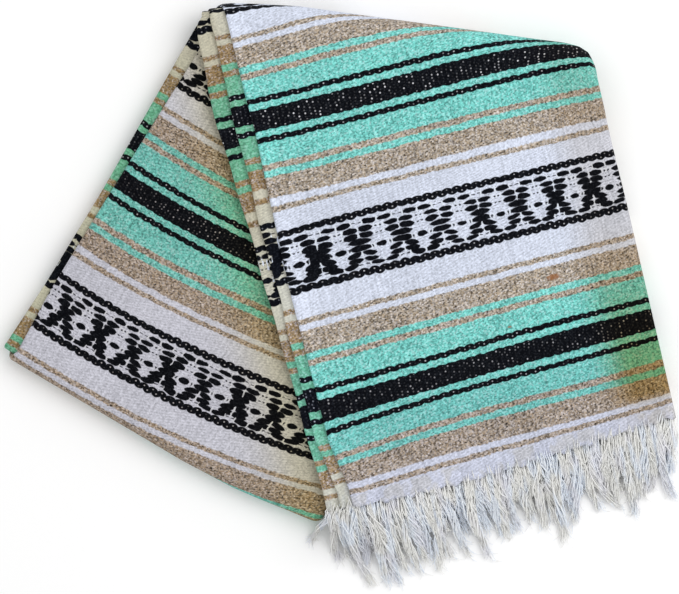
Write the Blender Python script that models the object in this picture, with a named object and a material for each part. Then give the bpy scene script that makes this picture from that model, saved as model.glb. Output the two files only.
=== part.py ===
"""Folded Mexican blanket: a striped cotton strip of eight layers, folded slantwise over itself so that the
front flap, with the fringe, lies across the back flap. Metres, +Z up, lying on the plane z = 0."""

from collections import namedtuple
from math import cos, pi, radians, sin

import bmesh
import bpy
import numpy as np
from mathutils import Vector

# Cloth and pack
CLOTH = 0.003
GAP = 0.0004
PAIR = 0.0065
PACK = 4 * PAIR
FLAP_WIDTH = 0.3485

# The slanting fold: the middle of its axis, its tilt to X, and the angle between the strip and its square
FOLD_MIDDLE = Vector((0.0884, 0.2463))
FOLD_TILT = radians(9.05)
LAP = radians(22.05)
ALONG_FOLD = Vector((cos(FOLD_TILT), -sin(FOLD_TILT)))
OUT_OF_FOLD = Vector((sin(FOLD_TILT), cos(FOLD_TILT)))

# Upper left corner of each flap's face: distance along the fold and away from it
FRONT_CORNER = Vector((-0.1970, 0.0099))
BACK_CORNER = Vector((-0.2268, 0.0380))
FRONT_START = FRONT_CORNER.x - FRONT_CORNER.y * sin(LAP) / cos(LAP)
BACK_START = BACK_CORNER.x + BACK_CORNER.y * sin(LAP) / cos(LAP)

# The front flap leans down to the ground past the back flap's right edge
DROP_START = 0.012
DROP_RUN = 0.085
DROP_FADE = 0.045

# The back cloth stops short of the slanting fold, where the fold's own cloth takes over
SEAM_AWAY = 0.008

# How round a folded edge is, how far its turned layer runs back, and how many columns a face has
ROUNDING = 0.7
TUCKED_ROUNDING = 0.85
OPEN_ROUNDING = 0.5
TURNED = 0.011
FACE_MARGIN = 0.0125
RIGHT_MARGIN = 0.0105
COLUMNS = 16

Edges = namedtuple("Edges", "down pair_1 pair_2 pair_3 pair_4")
# Left edges of the four folded pairs, by the distance down the strip; pair_1 is the one on the outside
FRONT_EDGES = (
    Edges(-0.010, 0.0000, -0.0190, -0.0300, -0.0240),
    Edges(0.034, 0.0003, -0.0155, -0.0320, -0.0260),
    Edges(0.066, 0.0006, -0.0164, -0.0352, -0.0280),
    Edges(0.102, 0.0022, -0.0159, -0.0333, -0.0260),
    Edges(0.178, 0.0010, -0.0145, -0.0275, -0.0210),
    Edges(0.268, 0.0002, -0.0120, -0.0227, -0.0170),
    Edges(0.421, 0.0042, -0.0086, -0.0158, -0.0120),
    Edges(0.472, 0.0130, 0.0010, -0.0130, -0.0060),
)
BACK_EDGES = (
    Edges(-0.040, -0.0100, -0.0120, -0.0150, 0.0000),
    Edges(0.020, -0.0090, -0.0100, -0.0138, 0.0000),
    Edges(0.160, -0.0060, -0.0070, -0.0105, -0.0020),
    Edges(0.275, -0.0070, -0.0080, -0.0110, -0.0030),
    Edges(0.357, -0.0100, -0.0110, -0.0143, 0.0010),
)

End = namedtuple("End", "across down")
# Lower end of each flap, by the distance across the strip
FRONT_END = (
    End(0.000, 0.485),
    End(0.065, 0.489),
    End(0.137, 0.488),
    End(0.210, 0.483),
    End(0.272, 0.478),
    End(0.315, 0.474),
    End(0.349, 0.472),
)
BACK_END = (
    End(0.000, 0.358),
    End(0.200, 0.356),
    End(0.255, 0.353),
    End(0.285, 0.349),
    End(0.315, 0.344),
    End(0.349, 0.339),
)

Reach = namedtuple("Reach", "along share")
# Share of the pack's full height that the slanting fold bulges outwards, by the distance along it
FOLD_REACH = (
    Reach(-0.240, 0.45),
    Reach(-0.222, 0.50),
    Reach(-0.212, 0.57),
    Reach(-0.199, 0.69),
    Reach(-0.171, 0.83),
    Reach(-0.131, 0.98),
    Reach(-0.060, 1.02),
    Reach(0.080, 1.02),
    Reach(0.131, 0.98),
    Reach(0.163, 0.72),
    Reach(0.178, 0.62),
)

# Stations of the lofts, as shares of a flap's length, and turns of the two folds
FRONT_SHARES = (0.02, 0.05, 0.09) + tuple(0.14 + 0.0478 * step for step in range(19))
BACK_SHARES = tuple(step / 11 for step in range(1, 12))
FOLD_TURNS = tuple(pi * step / 9 for step in range(10))
NOSE_TURNS = tuple(pi * step / 6 for step in range(7))
NOSE_DEPTH = PACK / 2
NOSE_NARROWING = 0.25
NARROW_FROM = 0.300

# Fringe: two backings, each with two rows of strands
STRANDS_IN_ROW = 34
BACKING_LENGTH = 0.008
STRAND_STEPS = (0.30, 0.65, 1.00)
STRAND_TAPER = (0.80, 0.60, 0.30)
Row = namedtuple("Row", "low high tip")
UPPER_ROWS = (Row(0.0200, 0.0245, 0.0066), Row(0.0145, 0.0190, 0.0048))
LOWER_ROWS = (Row(0.0070, 0.0115, 0.0031), Row(0.0012, 0.0057, 0.0014))
Fringe = namedtuple("Fringe", "across length lean")
# Length and sideways lean of the fringe, by the distance across the strip
FRINGE_SHAPE = (
    Fringe(0.000, 0.066, -0.022),
    Fringe(0.030, 0.088, -0.010),
    Fringe(0.080, 0.098, -0.004),
    Fringe(0.160, 0.086, 0.000),
    Fringe(0.240, 0.078, -0.004),
    Fringe(0.349, 0.078, -0.014),
)


def read(rows, place, column):
    """A table's column at a place, straight between its rows."""
    places = [row[0] for row in rows]
    values = [getattr(row, column) for row in rows]
    return float(np.interp(place, places, values))


def ease(share):
    """Soft step from 0 to 1."""
    share = min(max(share, 0.0), 1.0)
    return share * share * (3.0 - 2.0 * share)


def mix(low, high, share):
    return low + (high - low) * share


def edges_at(rows, down):
    """The left edges of the four pairs at a distance down the strip."""
    return Edges(down, *(read(rows, down, column) for column in Edges._fields[1:]))


def edges_between(first, second, share):
    return Edges(*(mix(low, high, share) for low, high in zip(first, second)))


def on_front(across, down, height):
    """A point of the front flap: across and down its strip, at a height in its pack."""
    along = FRONT_CORNER.x + across * cos(LAP) + down * sin(LAP)
    away = FRONT_CORNER.y - across * sin(LAP) + down * cos(LAP)
    beyond = (along - BACK_CORNER.x) * cos(LAP) + (away - BACK_CORNER.y) * sin(LAP) - FLAP_WIDTH
    drop = ease((beyond - DROP_START) / DROP_RUN) * ease(away / DROP_FADE)
    base = PACK - (PACK + GAP) * drop
    flat = FOLD_MIDDLE + along * ALONG_FOLD - away * OUT_OF_FOLD
    return Vector((flat.x, flat.y, base + height))


def on_back(across, down, height):
    """A point of the back flap, with the height counted down from its upper face."""
    along = BACK_CORNER.x + across * cos(LAP) - down * sin(LAP)
    away = BACK_CORNER.y + across * sin(LAP) + down * cos(LAP)
    flat = FOLD_MIDDLE + along * ALONG_FOLD - away * OUT_OF_FOLD
    return Vector((flat.x, flat.y, PACK - height))


def on_fold(across, turn, height):
    """A point of the slanting fold: turn runs from 0 at the back flap to pi at the front flap."""
    along = mix(BACK_START, FRONT_START, turn / pi) + across / cos(LAP)
    bulge = height * sin(turn) * read(FOLD_REACH, along, "share")
    flat = FOLD_MIDDLE + along * ALONG_FOLD + bulge * OUT_OF_FOLD
    return Vector((flat.x, flat.y, PACK - height * cos(turn)))


def front_down(across, share):
    """Distance down the front strip at a share of its length, from the fold to its lower end."""
    top = (across * sin(LAP) - FRONT_CORNER.y) / cos(LAP)
    return mix(top, read(FRONT_END, across, "down"), share)


def back_down(across, share, short):
    """Distance down the back strip at a share of its length, which ends short of the bottom fold's nose."""
    top = -(BACK_CORNER.y - SEAM_AWAY + across * sin(LAP)) / cos(LAP)
    return mix(top, read(BACK_END, across, "down") - short, share)


def front_station(share):
    edges = edges_at(FRONT_EDGES, front_down(0.0, share))
    return edges, lambda across, height: on_front(across, front_down(across, share), height)


def fold_station(turn):
    edges = edges_between(BACK_EDGES[0], FRONT_EDGES[0], turn / pi)
    return edges, lambda across, height: on_fold(across, turn, height)


def near_fold_station(away):
    """A station on the back flap, close beside the slanting fold."""
    def place(across, height):
        down = -(BACK_CORNER.y - away + across * sin(LAP)) / cos(LAP)
        return on_back(across, down, height)

    return BACK_EDGES[0], place


def back_station(share):
    edges = edges_at(BACK_EDGES, back_down(0.0, share, NOSE_DEPTH))
    return edges, lambda across, height: on_back(across, back_down(across, share, NOSE_DEPTH), height)


def nose_station(turn):
    """A station of the bottom fold: turn runs from 0 on the upper face to pi on the underside, and the
    depth is counted inwards from the cloth's outer side."""
    edges = BACK_EDGES[-1]

    def place(across, depth):
        radius = NOSE_DEPTH - depth
        down = read(BACK_END, across, "down") - NOSE_DEPTH + radius * sin(turn)
        return on_back(across, down, NOSE_DEPTH - radius * cos(turn))

    return edges, place


def round_edge(edge, low, high, rounding=ROUNDING):
    """Five points round a folded left edge, from low to high."""
    rise = high - low
    run = rounding * abs(rise)
    return [
        (edge + run, low),
        (edge + run * 0.25, low + rise * 0.15),
        (edge, low + rise * 0.5),
        (edge + run * 0.25, high - rise * 0.15),
        (edge + run, high),
    ]


def columns(left, height):
    """Points along a face, from its left edge to its right one."""
    start = left + FACE_MARGIN
    end = FLAP_WIDTH - RIGHT_MARGIN
    return [(mix(start, end, step / COLUMNS), height) for step in range(COLUMNS + 1)]


def round_right_edge(edge, low, high, rounding=ROUNDING):
    """Five points round a folded right edge, from low to high."""
    return [(edge - across, height) for across, height in round_edge(0.0, low, high, rounding)]


def cloth_ring(left):
    """Section of an outer cloth, by its depth in from the outer side: its left edge is a doubled round
    fold, and it wraps the upper half of the pack's right side."""
    turned = PAIR - GAP / 2
    wrapped = 2 * PAIR - GAP
    ring = [(left + TURNED, turned)]
    ring += round_edge(left, turned, 0.0)
    ring += columns(left, 0.0)
    ring += reversed(round_right_edge(FLAP_WIDTH, wrapped, 0.0))
    ring += round_right_edge(FLAP_WIDTH - CLOTH, wrapped - CLOTH / 3, CLOTH, ROUNDING * 0.9)
    ring += reversed(columns(left, CLOTH))
    ring += [(left + TURNED, CLOTH)]
    return ring


def outer_cloth_ring(left):
    """The same section by its height from the pack's inner side."""
    return [(across, PACK - depth) for across, depth in cloth_ring(left)]


def core_ring(edges, inner_open):
    """Section of the hidden layers. inner_open is true where no outer cloth lies on their inner side."""
    top = PACK - CLOTH - GAP
    low = GAP if inner_open else CLOTH + GAP
    left = edges.pair_1
    inner_left = edges.pair_4 if inner_open else edges.pair_4 + TURNED
    half = GAP / 2
    ring = columns(left, top)
    right = FLAP_WIDTH - CLOTH - GAP
    tuck = CLOTH / 3 + 2 * GAP
    ring += reversed(round_right_edge(right, 2 * PAIR + tuck, top, TUCKED_ROUNDING))
    if inner_open:
        ring += reversed(round_right_edge(right, low, 2 * PAIR - half, OPEN_ROUNDING))
    else:
        ring += reversed(round_right_edge(right, low, 2 * PAIR - tuck, TUCKED_ROUNDING))
    ring += reversed(columns(edges.pair_4, low))
    if inner_open:
        ring += round_edge(inner_left, low, PAIR - half)
    else:
        rise = (PAIR + half - low) / 4
        ring += [(inner_left + GAP, low + rise * step) for step in range(5)]
    ring += round_edge(edges.pair_3, PAIR + half, 2 * PAIR - half)
    ring += round_edge(edges.pair_2, 2 * PAIR + half, 3 * PAIR - half)
    ring += [(left + TURNED + GAP, 3 * PAIR - half)]
    return ring


def loft(name, rings, collection, material):
    """Joins closed rings of points into one solid with flat ends. The short diagonal of each cell leans
    the same way on both faces of a wall, so that facing walls stay parallel."""
    mesh = bmesh.new()
    rows = [[mesh.verts.new(point) for point in ring] for ring in rings]
    count = len(rows[0])
    for first, second in zip(rows, rows[1:]):
        for step in range(count):
            following = (step + 1) % count
            a, b = first[step], first[following]
            c, d = second[following], second[step]
            if (b.co - a.co).dot(ACROSS_HINT) >= 0.0:
                mesh.faces.new((a, b, c))
                mesh.faces.new((a, c, d))
            else:
                mesh.faces.new((a, b, d))
                mesh.faces.new((b, c, d))
    mesh.faces.new(rows[0])
    mesh.faces.new(rows[-1])
    bmesh.ops.recalc_face_normals(mesh, faces=mesh.faces)
    ends = [face for face in mesh.faces if len(face.verts) > 3]
    bmesh.ops.triangulate(mesh, faces=ends)
    return finish(mesh, name, collection, material)


ACROSS_HINT = Vector((1.0, 0.0, 0.0))


def finish(mesh, name, collection, material):
    """Turns a bmesh into a named object in the collection."""
    data = bpy.data.meshes.new(name)
    mesh.to_mesh(data)
    mesh.free()
    data.materials.append(material)
    made = bpy.data.objects.new(name, data)
    collection.objects.link(made)
    return made


def make_material(name, colour, roughness):
    material = bpy.data.materials.new(name)
    material.use_nodes = True
    shader = material.node_tree.nodes["Principled BSDF"]
    shader.inputs["Base Color"].default_value = (*colour, 1.0)
    shader.inputs["Roughness"].default_value = roughness
    shader.inputs["Metallic"].default_value = 0.0
    return material


def make_front_cloth(collection, material):
    """The stretch that shows in front: down the front flap's face and round the slanting fold."""
    stations = [near_fold_station(SEAM_AWAY - GAP)]
    stations += [fold_station(turn) for turn in FOLD_TURNS]
    stations += [front_station(share) for share in FRONT_SHARES]
    rings = [[place(*point) for point in outer_cloth_ring(edges.pair_1)] for edges, place in stations]
    return loft("front_flap_cloth", rings, collection, material)


def make_back_cloth(collection, material):
    """The stretch that shows on the left: the back flap's face, the bottom fold and the underside."""
    rings = []
    shares = (0.0,) + BACK_SHARES[:-1]
    for share in shares:
        edges, place = back_station(share)
        rings.append([place(*point) for point in cloth_ring(edges.pair_4)])
    for turn in NOSE_TURNS:
        edges, place = nose_station(turn)
        left = mix(edges.pair_4, edges.pair_1, turn / pi)
        rings.append([place(*point) for point in cloth_ring(left)])
    for share in reversed(shares):
        edges, place = back_station(share)
        rings.append([place(*point) for point in outer_cloth_ring(edges.pair_1)])
    return loft("back_flap_cloth", rings, collection, material)


def make_core(collection, material):
    """The hidden layers of both flaps, as one rounded solid with its pairs stepped at the left edge."""
    rings = []
    edges = BACK_EDGES[-1]._replace(pair_1=BACK_EDGES[-1].pair_4)
    for turn in (0.0, pi / 6, pi / 3):
        rings.append(core_nose_ring(edges, turn))
    rings.reverse()
    for share in reversed((0.0,) + BACK_SHARES[:-1]):
        edges, place = back_station(share)
        rings.append([place(*point) for point in core_ring(edges, False)])
    edges, place = near_fold_station(SEAM_AWAY * 0.7)
    rings.append([place(*point) for point in core_ring(edges, True)])
    for turn in FOLD_TURNS:
        edges, place = fold_station(turn)
        rings.append([place(*point) for point in core_ring(edges, True)])
    for share in FRONT_SHARES:
        edges, place = front_station(share)
        rings.append([place(*point) for point in core_ring(edges, True)])
    return loft("folded_layers", rings, collection, material)


def core_nose_ring(edges, turn):
    """Section of the hidden layers inside the bottom fold, thinner towards the fold's nose."""
    ring = []
    for across, height in core_ring(edges, False):
        across -= NOSE_NARROWING * max(0.0, across - NARROW_FROM)
        in_pairs = abs(height - NOSE_DEPTH) <= PAIR
        radius = PAIR - GAP / 2 if in_pairs else NOSE_DEPTH - CLOTH - GAP
        level = NOSE_DEPTH + (height - NOSE_DEPTH) * cos(turn)
        down = read(BACK_END, across, "down") - NOSE_DEPTH + radius * sin(turn)
        ring.append(on_back(across, down, level))
    return ring


def backing_cuts():
    """Distances across the strip where the backing's strand cells begin and end."""
    left = FRONT_EDGES[-1].pair_1
    return [mix(left, FLAP_WIDTH - PAIR, step / (2 * STRANDS_IN_ROW)) for step in range(2 * STRANDS_IN_ROW + 1)]


def make_fringe(name, rows, collection, material):
    """One backing strip, lofted across the lower end, with a strand drawn out of every other cell."""
    mesh = bmesh.new()
    cuts = backing_cuts()
    upper, lower = rows
    heights = (upper.high, upper.low, lower.high, lower.low)
    front, back = [], []
    for across in cuts:
        start = read(FRONT_END, across, "down") + GAP
        front.append([mesh.verts.new(on_front(across, start + BACKING_LENGTH, level)) for level in heights])
        back.append([mesh.verts.new(on_front(across, start, level)) for level in (upper.high, lower.low)])
    roots = []
    for step in range(len(cuts) - 1):
        near, far = front[step], front[step + 1]
        cells = [mesh.faces.new((near[i], far[i], far[i + 1], near[i + 1])) for i in range(3)]
        row = 0 if step % 2 == 0 else 1
        roots.append((cells[row * 2], rows[row], (cuts[step] + cuts[step + 1]) / 2))
        mesh.faces.new((back[step][0], back[step + 1][0], far[0], near[0]))
        mesh.faces.new((near[3], far[3], back[step + 1][1], back[step][1]))
        mesh.faces.new((back[step][1], back[step + 1][1], back[step + 1][0], back[step][0]))
    mesh.faces.new((*front[0], back[0][1], back[0][0]))
    mesh.faces.new((*reversed(front[-1]), back[-1][0], back[-1][1]))
    bmesh.ops.recalc_face_normals(mesh, faces=mesh.faces)
    for root, row, across in roots:
        draw_strand(mesh, root, row, across)
    bmesh.ops.triangulate(mesh, faces=mesh.faces)
    return finish(mesh, name, collection, material)


def draw_strand(mesh, root, row, across):
    """Extrudes a root cell in steps along the strand's path, tapering it, down to just above the ground."""
    centre = root.calc_center_median()
    offsets = [vertex.co - centre for vertex in root.verts]
    length = read(FRINGE_SHAPE, across, "length")
    lean = read(FRINGE_SHAPE, across, "lean")
    start = read(FRONT_END, across, "down") + GAP + BACKING_LENGTH
    face = root
    for share, taper in zip(STRAND_STEPS, STRAND_TAPER):
        face = bmesh.ops.extrude_discrete_faces(mesh, faces=[face])["faces"][0]
        point = on_front(across + lean * share * share, start + length * share, 0.0)
        point.z = row.tip + (centre.z - row.tip) * (1.0 - share) ** 2
        for vertex, offset in zip(face.verts, offsets):
            vertex.co = point + offset * taper


def main():
    for made in list(bpy.data.objects):
        bpy.data.objects.remove(made)
    collection = bpy.data.collections.new("mexican_blanket")
    bpy.context.scene.collection.children.link(collection)
    mint_cotton = make_material("mint_cotton", (0.20, 0.71, 0.52), 0.9)
    tan_cotton = make_material("tan_cotton", (0.47, 0.35, 0.24), 0.9)
    white_cotton = make_material("white_cotton", (0.80, 0.80, 0.82), 0.9)
    make_front_cloth(collection, mint_cotton)
    make_back_cloth(collection, mint_cotton)
    make_core(collection, tan_cotton)
    make_fringe("fringe_upper", UPPER_ROWS, collection, white_cotton)
    make_fringe("fringe_lower", LOWER_ROWS, collection, white_cotton)


main()
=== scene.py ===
"""Folded Mexican blanket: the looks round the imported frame. Metres, +Z up, lying on the floor z = 0."""

from functools import partialmethod
from math import cos, pi, radians, sin, tan
from random import Random

import bpy
import numpy as np
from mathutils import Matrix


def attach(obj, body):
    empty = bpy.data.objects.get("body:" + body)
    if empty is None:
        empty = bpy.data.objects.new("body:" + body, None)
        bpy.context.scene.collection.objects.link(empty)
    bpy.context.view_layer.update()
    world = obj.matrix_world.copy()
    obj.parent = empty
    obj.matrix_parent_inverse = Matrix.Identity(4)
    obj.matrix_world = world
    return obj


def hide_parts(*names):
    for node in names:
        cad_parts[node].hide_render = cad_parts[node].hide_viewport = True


bl_info = {
    "name": "Folded Mexican Blanket",
    "version": (1, 0, 0),
    "blender": (4, 5, 0),
    "location": "View3D > Sidebar > Blanket",
    "description": "Striped falsa cloth, its folded edges and its fringe",
    "category": "Add Mesh",
}

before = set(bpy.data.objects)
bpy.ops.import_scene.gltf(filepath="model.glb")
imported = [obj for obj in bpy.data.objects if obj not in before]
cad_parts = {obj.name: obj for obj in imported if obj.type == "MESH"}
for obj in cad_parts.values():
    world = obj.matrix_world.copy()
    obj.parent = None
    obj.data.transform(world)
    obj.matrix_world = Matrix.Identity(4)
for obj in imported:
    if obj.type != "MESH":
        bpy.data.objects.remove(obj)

MM = 0.001

# ---- Sizes of the folded cloth, in metres, as the frame has them ----
CLOTH = 0.003
GAP = 0.0004
PAIR = 0.0065
PACK = 4 * PAIR
FLAP_WIDTH = 0.3485
FOLD_MIDDLE = (0.0884, 0.2463)
FOLD_TILT = radians(9.05)
LAP = radians(22.05)
ALONG_FOLD = (cos(FOLD_TILT), -sin(FOLD_TILT))
OUT_OF_FOLD = (sin(FOLD_TILT), cos(FOLD_TILT))
FRONT_CORNER = (-0.1970, 0.0099)
BACK_CORNER = (-0.2268, 0.0380)
FRONT_START = FRONT_CORNER[0] - FRONT_CORNER[1] * tan(LAP)
BACK_START = BACK_CORNER[0] + BACK_CORNER[1] * tan(LAP)
FLAP_ACROSS = (0.97437, 0.22495)
DROP_START = 0.012
DROP_RUN = 0.085
DROP_FADE = 0.045
SEAM_AWAY = 0.008
TURNED = 0.011
ROUNDING = 0.7
NOSE_DEPTH = PACK / 2
# Lengths that set how many mesh rows a face and the slanting fold get
FRONT_LENGTH, FOLD_LENGTH, BACK_LENGTH = 0.48, 0.085, 0.34
# A folded pair's upper left edge is rounded over so many pairs' heights; its flat sides have so many columns
SOFT_EDGE, BACK_SOFT_EDGES, PAIR_STEPS = 1.6, {2: 0.7, 3: 0.9}, 7
UNDER_SHIFT = 0.004  # a pair's lower layer has its figures this much further across

# Left edges of the four folded pairs by the distance down the strip; the first is the outermost
FRONT_EDGES = np.array((
    (-0.01, 0.0, -0.0155, -0.024, -0.021),
    (-0.003, 0.0, -0.0165, -0.029, -0.023),
    (0.006, 0.0001, -0.0165, -0.0312, -0.024),
    (0.034, 0.0003, -0.0155, -0.032, -0.026),
    (0.066, 0.0006, -0.0164, -0.0352, -0.028),
    (0.102, 0.0022, -0.0159, -0.0333, -0.026),
    (0.178, 0.001, -0.0145, -0.0275, -0.021),
    (0.268, 0.0002, -0.012, -0.0227, -0.017),
    (0.421, 0.0042, -0.0086, -0.0158, -0.012),
    (0.472, 0.013, 0.001, -0.013, -0.006),
))
BACK_EDGES = np.array((
    (-0.04, -0.01, -0.012, -0.015, 0.0),
    (0.02, -0.009, -0.01, -0.0138, 0.0),
    (0.16, -0.006, -0.007, -0.0105, -0.002),
    (0.275, -0.007, -0.008, -0.011, -0.003),
    (0.357, -0.01, -0.011, -0.0143, 0.001),
))
# The front flap's right edge is drawn in by this much near the slanting fold: from where and over how much across,
# and from where and over how much down the flap it fades
DRAWN_IN, DRAWN_FROM, DRAWN_OVER, DRAWN_DOWN, DRAWN_FADE = 0.0035, 0.30, 0.075, 0.17, 0.09
# How far the white end goes on past the table below, and its waves: how high, and each one's length and phase
WOVEN_END, END_WAVE, END_WAVES = 0.0045, 0.0011, ((0.0231, 1.0), (0.0142, 0.0))
# Pleats at the fringe: how high, and each one's length, phase and share
PLEAT, PLEATS = 0.0005, ((0.0116, 0.4, 1.0), (0.0173, 2.0, 1.0), (0.0079, 5.0, 0.6))
# Lower ends of the flaps: distance across the strip, distance down it
FRONT_END = np.array((
    (0.0, 0.485), (0.065, 0.489), (0.137, 0.488), (0.21, 0.483), (0.272, 0.478), (0.315, 0.474), (0.349, 0.472),
))
BACK_END = np.array((
    (0.0, 0.358), (0.2, 0.356), (0.255, 0.353), (0.285, 0.349), (0.315, 0.344), (0.349, 0.339),
))
# How far the slanting fold bulges: distance along it, share of the pack's height
FOLD_REACH = np.array((
    (-0.24, 0.45), (-0.222, 0.5), (-0.212, 0.57), (-0.199, 0.69), (-0.171, 0.83), (-0.131, 0.98), (-0.06, 1.03),
    (0.04, 1.12), (0.1, 1.16), (0.135, 1.2), (0.15, 1.15), (0.16, 0.98), (0.166, 0.72), (0.171, 0.48),
    (0.18, 0.36),
))

# ---- Where the stripes run ----
# The stripes repeat every 290 mm and mirror about each thick black band and each figured band. A row gives a
# stripe's place in the weave, then how far down the flap it lies at each distance across it, all in mm.
TABLE_MARGIN = 0.004  # the tables' curves hold up to this close to the right edge, in metres
FRONT_ACROSS = (10, 50, 100, 160, 220, 280, 340)
FRONT_STRIPES = np.array((
    (-116.0, -18.2, -20.3, -23.4, -25.4, -28.0, -30.4, -30.4),
    (-85.1, 11.8, 9.8, 7.1, 5.1, 2.5, 0.1, -0.4),
    (-55.2, 39.8, 38.0, 36.7, 36.5, 34.7, 32.6, 32.6),
    (-43.0, 53.1, 51.3, 49.5, 49.7, 48.3, 46.2, 46.5),
    (-19.3, 75.7, 74.7, 73.1, 73.7, 72.8, 70.6, 73.6),
    (0.0, 95.9, 95.5, 93.9, 93.9, 92.8, 90.7, 93.8),
    (19.3, 115.4, 115.1, 113.7, 113.6, 112.4, 109.8, 112.8),
    (43.0, 139.7, 139.4, 137.3, 137.9, 137.0, 134.7, 137.5),
    (52.0, 149.5, 149.3, 147.7, 147.5, 146.3, 144.7, 146.9),
    (76.5, 173.1, 174.0, 172.9, 171.7, 170.4, 169.0, 170.2),
    (85.1, 185.2, 183.5, 182.2, 181.5, 181.7, 180.3, 180.1),
    (116.0, 210.1, 208.5, 206.8, 205.7, 206.8, 204.9, 205.5),
    (174.0, 267.9, 266.0, 265.0, 263.7, 263.3, 260.6, 260.2),
    (204.9, 300.0, 297.7, 296.8, 294.9, 293.7, 291.1, 290.8),
    (224.2, 319.2, 317.9, 315.3, 313.5, 312.6, 310.2, 309.8),
    (238.0, 333.9, 333.1, 329.7, 327.2, 326.8, 324.0, 323.1),
    (270.7, 368.2, 368.5, 364.7, 360.2, 359.9, 357.8, 356.2),
    (290.0, 389.4, 388.5, 384.8, 380.6, 379.9, 377.1, 375.8),
    (309.3, 411.1, 409.5, 403.7, 400.0, 400.8, 397.6, 395.3),
    (333.0, 434.9, 432.5, 427.4, 423.1, 423.9, 421.0, 417.7),
    (342.0, 444.5, 441.3, 436.8, 432.9, 433.0, 430.7, 428.9),
    (366.5, 466.5, 464.7, 461.8, 458.7, 458.4, 455.6, 452.1),
    (375.1, 474.5, 474.8, 471.8, 466.9, 465.8, 464.4, 459.1),
))
BACK_ACROSS = (5, 30, 60, 90, 120, 160, 200, 250, 300)
BACK_STRIPES = np.array((
    (-116.0, 35.6, 35.1, 34.3, 33.2, 31.2, 28.2, 25.2, 20.2, 15.2),
    (-85.1, 63.5, 63.6, 63.3, 62.7, 61.2, 58.2, 55.2, 50.2, 45.2),
    (-55.2, 91.4, 92.0, 91.9, 91.5, 90.2, 87.2, 84.2, 79.2, 74.2),
    (-43.0, 103.8, 104.2, 103.5, 103.6, 102.2, 98.7, 95.2, 90.2, 85.2),
    (-19.3, 127.6, 128.6, 128.0, 127.3, 125.5, 122.2, 118.2, 113.2, 108.2),
    (0.0, 146.5, 147.4, 147.1, 146.5, 144.4, 141.1, 137.1, 131.2, 125.2),
    (19.3, 165.5, 166.4, 166.7, 164.8, 162.6, 159.5, 154.8, 148.9, 143.0),
    (43.0, 191.8, 192.5, 191.4, 190.1, 188.8, 183.7, 178.6, 171.6, 164.6),
    (52.0, 201.2, 202.4, 202.2, 200.3, 198.0, 194.1, 188.5, 181.6, 174.6),
    (76.5, 223.6, 225.6, 224.8, 222.9, 221.4, 218.8, 213.5, 205.5, 198.5),
    (85.1, 233.9, 234.4, 233.8, 232.4, 229.6, 225.9, 221.0, 213.0, 205.5),
    (116.0, 258.9, 261.1, 261.4, 259.2, 256.2, 253.0, 248.7, 241.1, 232.5),
    (174.0, 313.8, 315.4, 315.3, 313.5, 311.7, 308.0, 304.2, 296.1, 286.1),
    (204.9, 344.6, 345.6, 345.3, 344.0, 342.8, 339.4, 336.0, 326.8, 315.1),
    (213.5, 352.6, 354.1, 353.7, 352.0, 350.3, 346.9, 342.9, 333.9, 322.2),
))
# Where the middles of the figured band's X's lie across each flap, in mm
FRONT_FIGURES = (37.0, 79.0, 120.5, 161.5, 202.0, 242.0, 278.5, 316.5)
BACK_FIGURES = (-15.8, 22.9, 61.6, 100.5, 138.8, 177.8, 216.5)
FIGURE_REPEAT = 0.040
# The back flap's UV starts so many repeats of the figures further across, so that its random flecks differ, and
# whatever lies past this many mm across is the back flap
BACK_FROM, BACK_SIDE = 20, 600.0
# How far each folded edge's stripes lie from the panel's beside it, in mm: distance down, pair 2, pair 3, pair 4
FRONT_SHIFTS = np.array(((0.0, -6, 12, 4), (0.10, -9, 9.6, 4), (0.20, -11.6, 9.3, 4), (0.48, -13.5, -0.5, -6)))
BACK_SHIFTS = np.array(((0.0, -37, -41, 0), (0.36, -37, -41, 0)))

# Soft ridges (+) and troughs (-), given one by one: across and down their middle, turn from the strip's length in
# degrees, half length, half width, height
FRONT_CREASES = (
    (0.02, 0.43, 4, 0.07, 0.012, 1.4), (0.045, 0.452, -14, 0.045, 0.01, -1.3), (0.085, 0.455, 10, 0.04, 0.011, 1.2),
    (0.13, 0.462, -6, 0.036, 0.012, -1.2), (0.185, 0.455, 8, 0.05, 0.014, 1.3), (0.235, 0.455, -4, 0.038, 0.012, -1.1),
    (0.29, 0.44, 6, 0.052, 0.013, 1.4), (0.322, 0.4, -10, 0.07, 0.011, -1.2), (0.06, 0.25, 3, 0.16, 0.016, 0.9),
    (0.12, 0.18, -4, 0.12, 0.018, -1.0), (0.2, 0.26, 5, 0.14, 0.02, 1.0), (0.265, 0.3, -3, 0.11, 0.018, -1.0),
    (0.3, 0.2, 7, 0.09, 0.015, 1.1), (0.03, 0.12, -5, 0.09, 0.01, 0.9), (0.18, 0.09, 68, 0.12, 0.012, -1.1),
    (0.1, 0.055, 72, 0.08, 0.01, 0.9), (0.318, 0.155, 40, 0.045, 0.01, -1.4), (0.285, 0.135, 55, 0.05, 0.009, 1.1),
)
BACK_CREASES = (
    (0.04, 0.3, 6, 0.06, 0.013, 1.2), (0.09, 0.325, -10, 0.045, 0.012, -1.3), (0.15, 0.315, 8, 0.06, 0.014, 1.2),
    (0.215, 0.325, -6, 0.04, 0.012, -1.2), (0.03, 0.17, 3, 0.11, 0.014, 0.9), (0.075, 0.2, -3, 0.09, 0.015, -1.0),
    (0.12, 0.23, 12, 0.07, 0.013, 1.0), (0.025, 0.08, 20, 0.06, 0.01, -1.1), (0.27, 0.32, 14, 0.04, 0.012, 1.1),
)
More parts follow.
